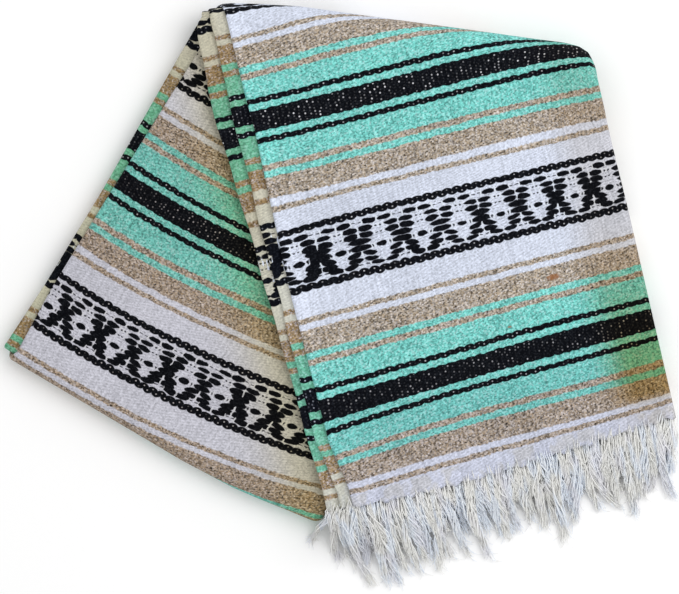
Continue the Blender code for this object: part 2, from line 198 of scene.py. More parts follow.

# ---- Slow colour changes: the red, green and blue that a cloth loses where it is darker, or gains where lighter. Most are painted shade, one a painted highlight ----
# Painted warm shade along the front flap's right side, deeper lower down; the front cloth darker towards its lower end
RIGHT_PAINTED_SHADE, DEEP_RIGHT_PAINTED_SHADE, LOWER_DARKER = (0.14, 0.19, 0.25), (0.30, 0.45, 0.72), (0.10, 0.12, 0.10)
# Painted highlight on the front flap's turned left edge
CREST_PAINTED_HIGHLIGHT = (0.12, 0.12, 0.12)
# The back cloth darker all over; painted warm shade on it beside the front flap's folded edges
BACK_DARKER, BACK_PAINTED_SHADE = (0.15, 0.21, 0.25), (0.05, 0.11, 0.38)
# The folded edges lighter towards the front flap's end and next to the front panel; painted shade on the back flap's
# folded edges
EDGE_LIGHTER_DOWN, EDGE_BESIDE, EDGE_PAINTED_SHADE = (0.10, 0.14, 0.24), (0.10, 0.12, 0.18), (0.08, 0.06, 0.10)

# ---- Fringe ----
# The upper layer's tassels in mm on the front flap: where each starts across it, where its middle and its end are,
# how far down it ends, half its width
TASSELS = (
    (-4, -20, -36, 517, 3.0), (-2, -13, -12, 541, 4.0), (3, -5, 4, 549, 3.5), (10, 3, 16, 574, 3.2),
    (18, 17, 11, 552, 4.5), (27, 28, 34, 575, 5.0), (36, 36, 44, 576, 5.0), (46, 44, 50, 566, 4.5),
    (57, 57, 63, 571, 4.8), (67, 68, 72, 562, 5.0), (76, 76, 79, 556, 4.0), (86, 89, 97, 562, 5.0),
    (94, 92, 84, 573, 4.0), (104, 107, 117, 566, 4.2), (115, 117, 119, 541, 5.0), (127, 127, 136, 573, 5.5),
    (138, 137, 141, 545, 4.5), (147, 148, 154, 556, 4.5), (158, 158, 163, 553, 5.0), (168, 167, 172, 552, 4.5),
    (178, 181, 184, 547, 4.8), (188, 188, 187, 541, 4.0), (198, 197, 194, 556, 4.8), (209, 210, 209, 552, 6.0),
    (220, 217, 212, 573, 5.0), (231, 229, 228, 545, 4.5), (241, 238, 224, 559, 4.8), (250, 248, 253, 551, 4.5),
    (260, 257, 274, 552, 4.5), (270, 266, 267, 545, 4.5), (280, 277, 274, 546, 5.0), (291, 287, 289, 562, 5.5),
    (301, 299, 298, 548, 5.0), (312, 308, 302, 545, 5.0), (322, 318, 311, 541, 4.5), (334, 325, 331, 556, 4.5),
)
# The lower layer lies mostly hidden: its tassels come every so many mm and end this much higher up, and its yarns
# come down to the ground over this many metres
LOWER_PITCH = 8.0
LOWER_SHORTER = 25.0
LOWER_FALL = 0.075
# Each layer's highest and lowest root, the height at which its tassels lie, and from where along a yarn and over how
# much of it the yarns gather into tassels
FRINGE_LAYERS = ((0.0264, 0.0150, 0.0036, 0.05, 0.40), (0.0225, 0.0030, 0.0030, 0.30, 0.55))
ON_TOP = 0.0258  # yarns with higher roots start a little before the cloth's end, on top of it
YARN_STEPS, FRAY_STEPS = 10, 3


# ---- Stage, in metres ----
FLOOR_SIZE, FLOOR_HEIGHT = 30.0, -0.0002
LAMP_SIZE, LAMP_PLACE = 2.6, (1.6, 0.9, 2.4)
CAMERA_PLACE = (0.002, 0.0015)  # over the middle of the picture
SENSOR_WIDTH, CLIP_END = 36.0, 50.0  # the sensor in mm


def read(rows, place, column=1):
    """A table's column at a place or an array of places, straight between its rows."""
    return np.interp(place, rows[:, 0], rows[:, column])


def ease(share):
    """Soft step from 0 to 1."""
    share = np.clip(share, 0.0, 1.0)
    return share * share * (3.0 - 2.0 * share)


def mix(low, high, share):
    return low + (high - low) * share


def in_plan(along, away, height):
    """Points from their place along the slanting fold, away from it, and their height."""
    x = FOLD_MIDDLE[0] + along * ALONG_FOLD[0] - away * OUT_OF_FOLD[0]
    y = FOLD_MIDDLE[1] + along * ALONG_FOLD[1] - away * OUT_OF_FOLD[1]
    return np.stack(np.broadcast_arrays(x, y, height), axis=-1)


def drawn_in(across, share):
    """The front flap's cloth is drawn in a little at its right edge, where it goes over the fold."""
    return across - DRAWN_IN * ease((across - DRAWN_FROM) / DRAWN_OVER) * share


def on_front(across, down, height):
    """Points of the front flap, which leans down to the ground past the back flap's right edge."""
    across = drawn_in(across, 1.0 - ease((down - DRAWN_DOWN) / DRAWN_FADE))
    along = FRONT_CORNER[0] + across * cos(LAP) + down * sin(LAP)
    away = FRONT_CORNER[1] - across * sin(LAP) + down * cos(LAP)
    beyond = (along - BACK_CORNER[0]) * cos(LAP) + (away - BACK_CORNER[1]) * sin(LAP) - FLAP_WIDTH
    drop = ease((beyond - DROP_START) / DROP_RUN) * ease(away / DROP_FADE)
    return in_plan(along, away, np.maximum(PACK - (PACK + GAP) * drop + height, 0.0))


def on_back(across, down, height):
    """Points of the back flap, with the height counted down from its upper face."""
    along = BACK_CORNER[0] + across * cos(LAP) - down * sin(LAP)
    away = BACK_CORNER[1] + across * sin(LAP) + down * cos(LAP)
    return in_plan(along, away, PACK - height)


def on_fold(across, turn, height):
    """Points of the slanting fold: turn runs from 0 at the back flap to pi at the front flap."""
    along = mix(BACK_START, FRONT_START, turn / pi) + drawn_in(across, turn / pi) / cos(LAP)
    bulge = height * sin(turn) * read(FOLD_REACH, along)
    return in_plan(along, -bulge, PACK - height * cos(turn))


def lower_end(across):
    """How far down the front flap its cloth ends, in slight waves."""
    waves = sum(np.sin(across * 2 * pi / length + phase) for length, phase in END_WAVES)
    return read(FRONT_END, across) + WOVEN_END + END_WAVE * waves


def front_down(across, share):
    """How far down the front flap a share of its face reaches, from the slanting fold to the fringe."""
    top = (across * sin(LAP) - FRONT_CORNER[1]) / cos(LAP)
    return mix(top, lower_end(across), share)


def back_down(across, share):
    """How far down the back flap a share of its face reaches, from the slanting fold to the bottom fold."""
    top = -(BACK_CORNER[1] - SEAM_AWAY + across * sin(LAP)) / cos(LAP)
    return mix(top, read(BACK_END, across) - NOSE_DEPTH, share)


def weave_place(stripes, stations, across, down):
    """The place in the weave of points on a flap, from the table of where its stripes run."""
    across = np.clip(across, 0.0, FLAP_WIDTH - TABLE_MARGIN)
    places = stripes[:, 0] * MM
    lines = [np.polyval(np.polyfit(np.array(stations) * MM, row[1:] * MM, 3), across) for row in stripes]
    found = places[0] + down - lines[0]
    for first, second, low, high in zip(places, places[1:], lines, lines[1:]):
        found = np.where(down >= low, mix(first, second, (down - low) / (high - low)), found)
    return np.where(down >= lines[-1], places[-1] + down - lines[-1], found)


def figure_place(middles, across):
    """The place across the weave, where the X's of the figured band come every 40 mm."""
    first = BACK_FROM if middles is BACK_FIGURES else 0
    return np.polyval(np.polyfit(np.array(middles) * MM, (np.arange(len(middles)) + first) * FIGURE_REPEAT, 2), across)


def front_weave(across, down):
    return weave_place(FRONT_STRIPES, FRONT_ACROSS, across, down)


def back_weave(across, down):
    return weave_place(BACK_STRIPES, BACK_ACROSS, across, down)


def flap_place(points):
    """Where points lie on the front flap, seen from above: across it and down it."""
    x, y = points[..., 0] - FOLD_MIDDLE[0], points[..., 1] - FOLD_MIDDLE[1]
    along = x * ALONG_FOLD[0] + y * ALONG_FOLD[1] - FRONT_CORNER[0]
    away = -(x * OUT_OF_FOLD[0] + y * OUT_OF_FOLD[1]) - FRONT_CORNER[1]
    return along * cos(LAP) - away * sin(LAP), along * sin(LAP) + away * cos(LAP)


def darker(share, loss):
    """Tone that loses so much red, green and blue where share is 1, and gains as much where it is -1."""
    return 1.0 - np.stack([share * part for part in loss], axis=-1)


def front_tone(points):
    """Slow colour changes of the front cloth: painted warm shade along the right side, deeper towards the lower end;
    darker towards the cloth's lower end; a painted highlight on the turned left edge.
    """
    across, down = flap_place(points)
    # the painted shade along the right ends just above the white end; the crest is the painted highlight on the turned
    # left edge
    right = ease((across - 0.272) / 0.045) * (1 - 0.8 * ease((down - 0.445) / 0.016))
    low = ease((down - 0.25) / 0.17)
    crest_highlight = -np.exp(-(across / 0.016) ** 2)
    tone = darker(right * (1 - low), RIGHT_PAINTED_SHADE) * darker(right * low, DEEP_RIGHT_PAINTED_SHADE)
    return tone * darker(ease((down - 0.36) / 0.06), LOWER_DARKER) * darker(crest_highlight, CREST_PAINTED_HIGHLIGHT)


def back_tone(points):
    """Slow colour changes of the back cloth: darker all over, and painted warm shade beside the front flap's folded
    edges.
    """
    across, _ = flap_place(points)
    # painted warm shade beside the front flap's folded edges
    beside = np.exp(-(np.clip(-0.026 - across, 0.0, 1.0) / 0.036) ** 2)
    return darker(np.ones_like(across), BACK_DARKER) * darker(beside, BACK_PAINTED_SHADE)


def edge_tone(points):
    """Slow colour changes of the folded edges: lighter towards the front flap's end and next to the front panel,
    painted shade along the back flap.
    """
    across, down = flap_place(points)
    # lighter towards the front flap's end; painted shade on the back flap's folded edges; lighter next to the front
    # panel
    lighter_down, back = -ease((down - 0.16) / 0.12), ease((-0.045 - across) / 0.02)
    beside = -ease((across + 0.020) / 0.014)
    return darker(lighter_down * (1 - back), EDGE_LIGHTER_DOWN) * darker(beside, EDGE_BESIDE) * darker(back, EDGE_PAINTED_SHADE)


def crease_height(creases, across, down):
    """How much the hand-laid ridges and troughs lift the cloth."""
    lift = np.zeros(np.broadcast(across, down).shape)
    for middle_across, middle_down, turn, half_length, half_width, height in creases:
        a, d = across - middle_across, down - middle_down
        c, s = cos(radians(turn)), sin(radians(turn))
        length, width = (d * c + a * s) / half_length, (a * c - d * s) / half_width
        profile = np.exp(-(width ** 2)) - 0.45 * np.exp(-((width / 2) ** 2))
        lift += height * MM * np.exp(-(length ** 2) * 1.5) * profile
    return lift


def end_pleats(across, down):
    """Small pleats where the fringe gathers the cloth's lower end."""
    near = ease((down - lower_end(across) + 0.018) / 0.014)
    waves = sum(np.sin(2 * pi * across / length + phase) * share for length, phase, share in PLEATS)
    return near * PLEAT * (waves - 1.0)


def cloth_section(left, across_steps):
    """Section of an outer cloth: across, depth from the outer side, and place along the cloth. Its left edge is
    turned under, and it wraps the upper half of the pack's right side."""
    turned, wrapped = PAIR - GAP / 2, 2 * PAIR - GAP
    run, wrap_run = ROUNDING * turned, ROUNDING * wrapped
    angles = np.linspace(-pi / 2, pi / 2, 9)
    left_across = left + run - run * np.cos(angles)
    left_depth = turned / 2 * (1 - np.sin(angles))
    left_place = left + run - (pi / 2 - angles) * (run + turned / 2) / 2
    under = left + TURNED
    flat = np.linspace(left + run, FLAP_WIDTH - wrap_run, across_steps)[1:]
    angles = np.linspace(0, pi, 13)[1:]
    right_across = FLAP_WIDTH - wrap_run + wrap_run * np.sin(angles)
    right_depth = wrapped / 2 * (1 - np.cos(angles))
    right_place = FLAP_WIDTH - wrap_run + angles * (wrap_run + wrapped / 2) / 2
    across = np.concatenate(([under], left_across, flat, right_across))
    depth = np.concatenate(([turned], left_depth, 0 * flat, right_depth))
    place = np.concatenate(([left_place[0] - (under - left_across[0])], left_place, flat, right_place))
    return across, depth, place


def pair_section(left, low, soft=SOFT_EDGE):
    """Section of a folded pair as a closed ring from its low side: a soft round edge at each side."""
    high, middle = low + PAIR - GAP, low + (PAIR - GAP) / 2
    half = (PAIR - GAP) / 2
    run, soft_run = ROUNDING * half, soft * PAIR
    up = np.linspace(0, pi / 2, 8)
    lower_left = (left + run - run * np.cos(up[::-1]), middle - half * np.sin(up[::-1]))
    upper_left = (left + soft_run - soft_run * np.cos(up[1:]), middle + half * np.sin(up[1:]))
    right = FLAP_WIDTH - CLOTH
    top = np.linspace(left + soft_run, right - run, PAIR_STEPS)[1:]
    turn = np.linspace(0, pi, 9)[1:]
    round_right = (right - run + run * np.sin(turn), middle + half * np.cos(turn))
    bottom = np.linspace(right - run, left + run, PAIR_STEPS)[1:-1]
    across = np.concatenate((lower_left[0], upper_left[0], top, round_right[0], bottom))
    height = np.concatenate((lower_left[1], upper_left[1], 0 * top + high, round_right[1], 0 * bottom + low))
    return across, height


# ---- Meshes ----
def grid_piece(name, points, places):
    """A named grid of points, row by row, with the place in the weave as its UV map."""
    rows, columns = points.shape[:2]
    bpy.ops.object.select_all(action="DESELECT")
    bpy.ops.mesh.primitive_grid_add(x_subdivisions=columns - 1, y_subdivisions=rows - 1, size=2.0)
    made = bpy.context.object
    made.name = made.data.name = name
    mesh = made.data
    co = np.empty(len(mesh.vertices) * 3)
    mesh.vertices.foreach_get("co", co)
    co = co.reshape(-1, 3)
    column = np.rint((co[:, 0] + 1) / 2 * (columns - 1)).astype(int)
    row = np.rint((co[:, 1] + 1) / 2 * (rows - 1)).astype(int)
    mesh.vertices.foreach_set("co", points[row, column].ravel())
    corner = np.empty(len(mesh.loops), int)
    mesh.loops.foreach_get("vertex_index", corner)
    mesh.uv_layers[0].data.foreach_set("uv", places[row, column][corner].ravel())
    mesh.uv_layers[0].name = "weave"
    mesh.update()
    bpy.ops.object.shade_smooth()
    return made


def thicken(piece, thickness):
    """Gives a sheet its thickness, inwards from the side that shows."""
    modifier = piece.modifiers.new("solidify", "SOLIDIFY")
    modifier.thickness, modifier.offset, modifier.use_quality_normals = thickness, -1.0, True
    bpy.context.view_layer.objects.active = piece
    bpy.ops.object.modifier_apply(modifier=modifier.name)


def join(pieces, name):
    """Joins pieces into the first and names it."""
    bpy.ops.object.select_all(action="DESELECT")
    for piece in pieces:
        piece.select_set(True)
    bpy.context.view_layer.objects.active = pieces[0]
    bpy.ops.object.join()
    pieces[0].name = pieces[0].data.name = name
    return pieces[0]


def give(piece, material, tone=None):
    """Gives a piece its material, and its slow colour changes, painted shade and a painted highlight among them, as the
    attribute "tone".
    """
    mesh = piece.data
    mesh.materials.clear()
    mesh.materials.append(material)
    if tone:
        co = np.empty(len(mesh.vertices) * 3)
        mesh.vertices.foreach_get("co", co)
        colours = np.ones((len(mesh.vertices), 4))
        colours[:, :3] = tone(co.reshape(-1, 3))
        mesh.color_attributes.new("tone", "FLOAT_COLOR", "POINT").data.foreach_set("color", colours.ravel())


def sheet_from_rows(name, rows):
    """Grid rows of (points, across places, weave places) as one cloth."""
    points = np.array([row[0] for row in rows])
    places = np.array([np.stack((row[1], row[2]), axis=-1) for row in rows])
    return grid_piece(name, points, places)


def tube_from_rows(name, rows):
    """Closed rings of (points, across places, weave places) as one tube with closed ends."""
    closed = [[np.concatenate((part, part[:1])) for part in row] for row in rows]
    made = sheet_from_rows(name, closed)
    bpy.ops.object.mode_set(mode="EDIT")
    bpy.ops.mesh.select_all(action="SELECT")
    bpy.ops.mesh.remove_doubles(threshold=1e-6)
    bpy.ops.mesh.select_all(action="DESELECT")
    bpy.ops.mesh.select_mode(type="EDGE")
    bpy.ops.mesh.select_non_manifold(
        extend=False, use_wire=False, use_multi_face=False, use_non_contiguous=False, use_verts=False)
    bpy.ops.mesh.edge_face_add()
    bpy.ops.mesh.select_all(action="SELECT")
    bpy.ops.mesh.normals_make_consistent(inside=False)
    bpy.ops.object.mode_set(mode="OBJECT")
    return made


# ---- Shader maths ----
class Wire:
    """A number in a material. Python sums on it add Math nodes."""

    def __init__(self, finish, socket):
        self.finish, self.socket = finish, socket

    def maths(self, operation, *others, first=None):
        inputs = (self, *others) if first is None else (first, self)
        return self.finish.node("ShaderNodeMath", {"operation": operation}, inputs)["Value"]

    def __rsub__(self, other):
        return self.maths("SUBTRACT", first=other)

    def soft_step(self, low, high):
        """0 below low, 1 above high, soft between."""
        settings = {"interpolation_type": "SMOOTHSTEP"}
        inputs = {"Value": self, "From Min": low, "From Max": high}
        return self.finish.node("ShaderNodeMapRange", settings, inputs)["Result"]


WIRE_MATHS = {
    "__add__": "ADD", "__radd__": "ADD", "__sub__": "SUBTRACT", "__mul__": "MULTIPLY", "__rmul__": "MULTIPLY",
    "__truediv__": "DIVIDE", "__pow__": "POWER", "__abs__": "ABSOLUTE", "floor": "FLOOR", "cosine": "COSINE",
    "root": "SQRT", "larger": "MAXIMUM", "fraction": "FRACT", "fold": "PINGPONG", "wrap": "WRAP",
}
for method, operation in WIRE_MATHS.items():
    setattr(Wire, method, partialmethod(Wire.maths, operation))


class Outputs:
    """A node's outputs by name: numbers come as wires, the rest as sockets."""

    def __init__(self, finish, made):
        self.finish, self.made = finish, made

    def __getitem__(self, name):
        socket = next(s for s in self.made.outputs if s.name == name and s.enabled)
        return Wire(self.finish, socket) if socket.type == "VALUE" else socket


class Finish:
    """A material under construction."""

    def __init__(self, name):
        self.material = bpy.data.materials.new(name)
        self.material.use_nodes = True
        self.tree = self.material.node_tree
        self.shader = self.tree.nodes["Principled BSDF"]

    def node(self, kind, settings=None, inputs=None):
        """Adds a node: its settings first, then the values or links of its sockets."""
        made = self.tree.nodes.new(kind)
        for key, value in (settings or {}).items():
            if key == "stops":
                self.set_stops(made.color_ramp, value)
            else:
                setattr(made, key, value)
        pairs = inputs.items() if isinstance(inputs, dict) else enumerate(inputs or ())
        for key, value in pairs:
            self.feed(self.pick(made, key), value)
        return Outputs(self, made)

    def pick(self, made, key):
        if isinstance(key, int):
            return made.inputs[key]
        return next(s for s in made.inputs if s.name == key and s.enabled)

    def feed(self, socket, value):
        if isinstance(value, Wire):
            value = value.socket
        if isinstance(value, bpy.types.NodeSocket):
            self.tree.links.new(value, socket)
        elif socket.type == "RGBA" and len(value) == 3:
            socket.default_value = (*value, 1.0)
        else:
            socket.default_value = value

    def fill(self, inputs):
        """The shader's values and links by socket name."""
        for name, value in inputs.items():
            self.feed(self.shader.inputs[name], value)

    def set_stops(self, ramp, stops):
        while len(ramp.elements) < len(stops):
            ramp.elements.new(1.0)
        for element, (place, colour) in zip(ramp.elements, stops):
            element.position = place
            element.color = (*colour, 1.0)

    def blend(self, share, low, high, blend="MIX"):
        """A colour between two others."""
        settings = {"data_type": "RGBA", "blend_type": blend, "clamp_factor": True}
        return self.node("ShaderNodeMix", settings, {"Factor": share, "A": low, "B": high})["Result"]

    def times(self, low, high):
        """Two colours multiplied."""
        return self.blend(1.0, low, high, "MULTIPLY")

    def grey(self, value):
        """A number as a grey colour."""
        return self.node("ShaderNodeCombineColor", None, {"Red": value, "Green": value, "Blue": value})["Color"]

    def vector(self, x, y, z=0.0):
        return self.node("ShaderNodeCombineXYZ", None, {"X": x, "Y": y, "Z": z})["Vector"]

    def noise(self, vector, scale, detail=2.0, dimensions="3D"):
        inputs = {"Vector": vector, "Scale": scale, "Detail": detail}
        return self.node("ShaderNodeTexNoise", {"noise_dimensions": dimensions}, inputs)

    def cloud(self, x, y, detail=2.0):
        """Soft noise over two numbers, with patches about one unit wide."""
        return self.noise(self.vector(x, y), 1.0, detail, "2D")

    def random(self, x, y):
        """An even random number for each whole x and y."""
        inputs = {"Vector": self.vector(x, y)}
        return self.node("ShaderNodeTexWhiteNoise", {"noise_dimensions": "2D"}, inputs)["Value"]


# Half a repeat of the stripes, from the thick black band's middle: how far each stripe reaches in mm, its yarn.
# The thin black line, the chain and the figures are laid over it.
HALF_REPEAT = 145.0
STRIPES = (
    (43.0, "mint"), (48.7, "tan"), (55.2, "mint"), (76.5, "tan"), (82.6, "white"), (87.8, "tan"), (145.0, "white"),
)
THICK_HALF = 10.5
THIN_MIDDLE, THIN_HALF = 19.4, 3.1
CHAIN_MIDDLE, CHAIN_HALF = 115.8, 4.3
LUMPS = 10.0
SPECK_ACROSS, SPECK_ALONG = 4.9, 3.0
# The white end by the fringe starts so far along the weave, in mm
END_ZONE = 378.0
# The plain weave's fine slanting lines, in lines per mm
LATTICE_ACROSS, LATTICE_ALONG = 0.105, 0.32
# The first two colours are painted shade: thin shadows of the weft yarns over the figured band, and the grey in the
# slits between a rope's lumps
WEFT_PAINTED_SHADOW, SLIT_PAINTED_SHADE, SPECK, SLUB = (0.10, 0.10, 0.14), (0.075, 0.085, 0.105), (0.80, 0.80, 0.84), (0.30, 0.115, 0.035)
# A brown slub and a fleck in the yarn: place across and along, half length, half height, in mm
SLUBS = ((220.0, 225.5, 8.0, 3.6), (164.0, 262.0, 2.6, 1.2))
# The figured band, in mm from an X's middle and below the band's middle. Each column of woven ovals has its middle and
# half length across, and its rows with their place down, half height and slant. It mirrors about each X and diamond.
FIGURE_HALF_REPEAT = 20.0
FIGURE_OVALS = (
    (12.9, 7.2, ((-20.0, 2.5, 0.04), (21.4, 2.4, 0.10))),
    (7.3, 7.0, ((-13.5, 2.4, 0.0), (-7.2, 2.8, 0.05), (11.0, 2.5, 0.17), (16.6, 2.5, 0.03))),
    (20.0, 4.9, ((5.2, 2.5, 0.0),)),
)
# Long ovals over the X's middles, which close them up
FIGURE_HEARTS = ((0.0, 10.4, ((-1.3, 2.9, 0.0), (5.0, 2.9, 0.0))),)
# How square the marks are along and across
OVAL_POWERS, DASH_POWERS, TICK_POWERS = (2.4, 1.45), (2.4, 1.5), (2.0, 4.0)
FIGURE_DASHES = (
    (17.9, 1.2, ((-13.3, 1.0, 0.0), (-7.0, 0.7, 0.0))), (11.4, 1.0, ((5.2, 1.3, 0.0),)),
    (3.4, 2.4, ((-20.2, 0.5, 0.0), (21.0, 0.6, 0.0))),
)
FIGURE_TICKS = (
    (0.0, 0.85, ((-13.0, 3.4, 0.0), (-7.0, 3.2, 0.0), (11.5, 3.2, 0.0), (16.8, 2.8, 0.0))),
    (20.0, 0.85, ((-20.0, 3.4, 0.0), (-13.5, 2.8, 0.0), (21.6, 3.2, 0.0))),
    (15.4, 0.75, ((-13.5, 3.2, 0.0), (-7.5, 2.6, 0.0))), (5.3, 0.75, ((-20.0, 3.2, 0.0), (21.4, 2.6, 0.0))),
    (13.2, 0.7, ((5.2, 3.0, 0.0),)), (9.9, 0.65, ((5.2, 2.8, 0.0),)),
)


def stripe_stops(colours):
    """Stops of a ramp over half a repeat, with a short blend at each change of yarn."""
    stops, blend = [(0.0, colours[STRIPES[0][1]])], 0.35
    for (reach, yarn), (_, following) in zip(STRIPES, STRIPES[1:]):
        stops.append(((reach - blend) / HALF_REPEAT, colours[yarn]))
        stops.append(((reach + blend) / HALF_REPEAT, colours[following]))
    return stops


def rope(finish, beside, across, half, notch, rows, rarity, seed):
    """A twisted black line with a lump on each side in turn: its mask, the white speck in each lump, and the
    painted shade in the slit between lumps."""
    lower = beside.maths("GREATER_THAN", 0.0)
    turn = (across / LUMPS + lower * 0.5).fraction() - 0.5
    size = finish.random((across / LUMPS + lower * 0.5).floor(), lower + seed)
    reach = (half - notch) + (abs(turn * pi).cosine() ** 0.7) * notch * (0.75 + size * 0.5)
    line = 1.0 - (abs(beside) - reach).soft_step(-0.4, 0.4)
    spot = ((turn * LUMPS) ** 2.0 + ((abs(beside) - rows) * 1.15) ** 2.0).root()
    slit = (abs(turn) * LUMPS + abs(beside) * 0.35).soft_step(4.9, 5.7) * abs(beside).soft_step(0.4, 1.2)
    return line, line * (1.0 - spot.soft_step(0.25, 1.15)) * (size ** rarity), line * slit * 0.5


def oval_mask(x, y, columns, powers, fullness=None):
    """Woven ovals: how much of each point they cover. The powers square off their length and their height."""
    found = None
    for middle, half_length, rows in columns:
        aside = x - middle
        length = abs(aside / half_length) ** powers[0]
        for below, half_height, slant in rows:
            level = y - below - aside * slant if slant else y - below
            reach = length + abs(level / half_height) ** powers[1]
            reach = reach if fullness is None else reach - fullness
            mask = 1.0 - reach.soft_step(0.78, 1.25)
            found = mask if found is None else found.larger(mask)
    return found


def striped_finish(name, settings, mint, tan_yarn, white, black, grain=1.0):
    """Plain-woven striped cloth: yarn colours by the weave's UV map, ropes, figures, specks, grain and bump."""
    finish = Finish(name)
    uv = finish.node("ShaderNodeUVMap", {"uv_map": "weave"})["UV"]
    split = finish.node("ShaderNodeSeparateXYZ", None, {"Vector": uv})
    wander = finish.noise(uv, 70.0, 2.0, "2D")["Fac"] - 0.5
    across = split["X"] * 1000.0
    along = split["Y"] * 1000.0 + wander * 1.8
    jag = finish.random((across / 2.5).floor(), 7.0) - 0.5
    stripe = (along + jag * settings.raggedness).fold(HALF_REPEAT)
    colours = {"mint": tuple(mint), "tan": tuple(tan_yarn), "white": tuple(white)}
    kinds = {"mint": (1, 0, 0), "tan": (0, 1, 0), "white": (0, 0, 1)}
    yarn, kind = (
        finish.node("ShaderNodeValToRGB", {"stops": stripe_stops(table)}, {"Fac": stripe / HALF_REPEAT})["Color"]
        for table in (colours, kinds))
    kind = finish.node("ShaderNodeSeparateColor", None, {"Color": kind})
    tan_share, white_share = kind["Green"], kind["Blue"]

    # Grain: each crossing of the yarns is lighter or darker, in a fine check that is partly at random
    pitch_across, pitch_along = settings.warp_pitch / MM, settings.weft_pitch / MM
    row = (along / pitch_along).floor()
    step = (across / pitch_across + row * 0.5).floor()
    cell = finish.random(step, row)
    other = finish.random(step + 31.0, row + 17.0)
    wide_row = (along / (pitch_along * 1.3) + 0.3).floor()
    wide = finish.random((across / (pitch_across * 1.4) + wide_row * 0.37).floor(), wide_row + 57.0)
    coarse = finish.cloud(across / 3.0, along / 2.4)["Fac"] - 0.5
    streak = finish.cloud(across / 5.0, along / 45.0, 3.0)["Fac"] - 0.5
    patch = finish.cloud(across / 90.0, along / 70.0)["Fac"] - 0.5
    end_zone = along.soft_step(END_ZONE, END_ZONE + 3.0)
    end_patch = finish.cloud(across / 15.0, along / 22.0)["Fac"].soft_step(0.42, 0.60)
    yarn = finish.blend(end_zone * end_patch * 0.45, yarn, settings.end_cream)
    strength = ((0.68 + tan_share * 0.34) - white_share * 0.36) * grain
    light = 1.0 + (cell - 0.5) * strength + (wide - 0.5) * strength * 0.62 + coarse * strength * 0.4
    slant = (across * (2 * pi * LATTICE_ACROSS) + along * (2 * pi * LATTICE_ALONG)).cosine()
    rib = (across * (2 * pi / SPECK_ACROSS)).cosine()
    light = light + slant * (0.07 + tan_share * 0.05) * grain
    light = light + rib * ((0.07 + tan_share * 0.03) - white_share * 0.03) * grain
    light = light + streak * (0.26 * grain) + patch * 0.20
    golden = other.soft_step(0.45, 1.0) * tan_share * 0.55
    coloured = finish.blend(golden, yarn, settings.golden)
    lilac = (1.0 - other.soft_step(0.0, 0.4)) * tan_share * 0.55
    coloured = finish.blend(lilac, coloured, settings.lilac)
    coloured = finish.times(coloured, finish.grey(light))
    pale = wide.soft_step(0.55, 1.0) * (1.0 - white_share) * (0.24 - tan_share * 0.10) * grain
    coloured = finish.blend(pale, coloured, settings.pale_cool)

    # Black: the thick band, the thin lines, the chains and the figures
    plain = along.fold(HALF_REPEAT)
    back = across.soft_step(BACK_SIDE, BACK_SIDE + 1.0)
    lump = abs((across * (pi / LUMPS) + 0.7).cosine())
    thick = 1.0 - (plain + jag * 0.5 - lump * 0.9).soft_step(THICK_HALF - 1.05, THICK_HALF - 0.25)
    column = (across / SPECK_ACROSS).floor()
    level = along / SPECK_ALONG + column * 0.5
    drift = (finish.random(column, level.floor() + 40.0) - 0.5) * 2.2
    spot = (((across / SPECK_ACROSS).fraction() - 0.5) * SPECK_ACROSS + drift) ** 2.0
    spot = (spot + ((level.fraction() - 0.5) * SPECK_ALONG) ** 2.0).root()
    bright = finish.random(column, level.floor()) ** settings.speck_rarity
    specks = (1.0 - spot.soft_step(0.3, 1.15)) * (bright + 0.02) * (1.0 - plain.soft_step(8.6, 9.6))
    # fewer bright specks on the lower black band and on the back flap
    specks = specks * (1.0 - along.soft_step(200.0, 220.0) * 0.45) * (1.0 - back * 0.4)
    thin, thin_specks, thin_slits = rope(finish, plain - THIN_MIDDLE, across, THIN_HALF, 1.3, 0.8, 2.5, 20.0)
    chain, chain_specks, chain_slits = rope(finish, plain - CHAIN_MIDDLE, across + 2.4, CHAIN_HALF, 2.0, 1.6, 1.2, 60.0)
    wobble = finish.node("ShaderNodeSeparateColor", None, {"Color": finish.cloud(across / 6.0, along / 4.0)["Color"]})
    x = (across + (wobble["Red"] - 0.5) * 2.6).fold(FIGURE_HALF_REPEAT)
    y = (along - HALF_REPEAT + (wobble["Green"] - 0.5) * 1.6).wrap(HALF_REPEAT, -HALF_REPEAT)
    # How full the woven ovals are: one X on the front flap and most on the back flap close up below their tops
    fullness = finish.cloud(across / 38.0, along / 160.0, 1.0)["Fac"].soft_step(0.42, 0.66) * 0.40
    closed = (1.0 - abs(across).soft_step(11.0, 22.0)) * 0.55 + back * 0.31
    fullness = fullness + closed * y.soft_step(-11.0, -4.0) - 0.02
    hearts = oval_mask(x * (back * 0.28 + 1.0), y, FIGURE_HEARTS, OVAL_POWERS, fullness)
    figures = oval_mask(x, y, FIGURE_OVALS, OVAL_POWERS, fullness).larger(hearts)
    kept = finish.random((across / (FIGURE_HALF_REPEAT * 2)).floor(), (y / 3.1).floor()).soft_step(0.1, 0.5)
    ticks = oval_mask(x, y, FIGURE_TICKS, TICK_POWERS) * kept
    dashes = oval_mask(x, y, FIGURE_DASHES, DASH_POWERS)
    inside = 1.0 - abs(y).soft_step(24.4, 25.6)
    # painted shadows of the weft yarns: thin dark lines across the figured band
    threads = 1.0 - abs((y / 2.95 + 0.12).fraction() - 0.5).soft_step(0.06, 0.20)
    threads = threads * coarse.soft_step(-0.03, 0.10) * inside
    figures = (figures.larger(dashes * 0.9)) * (1.0 - ticks * 0.92)
    dark = thick.larger(thin.larger(chain)).larger(figures)
    coloured = finish.blend(threads * 0.55, coloured, WEFT_PAINTED_SHADOW)
    coloured = finish.blend(ticks * inside * 0.85, coloured, settings.pale_cool)
    black_yarn = finish.blend(cell ** 3.0, black, settings.worn_black)
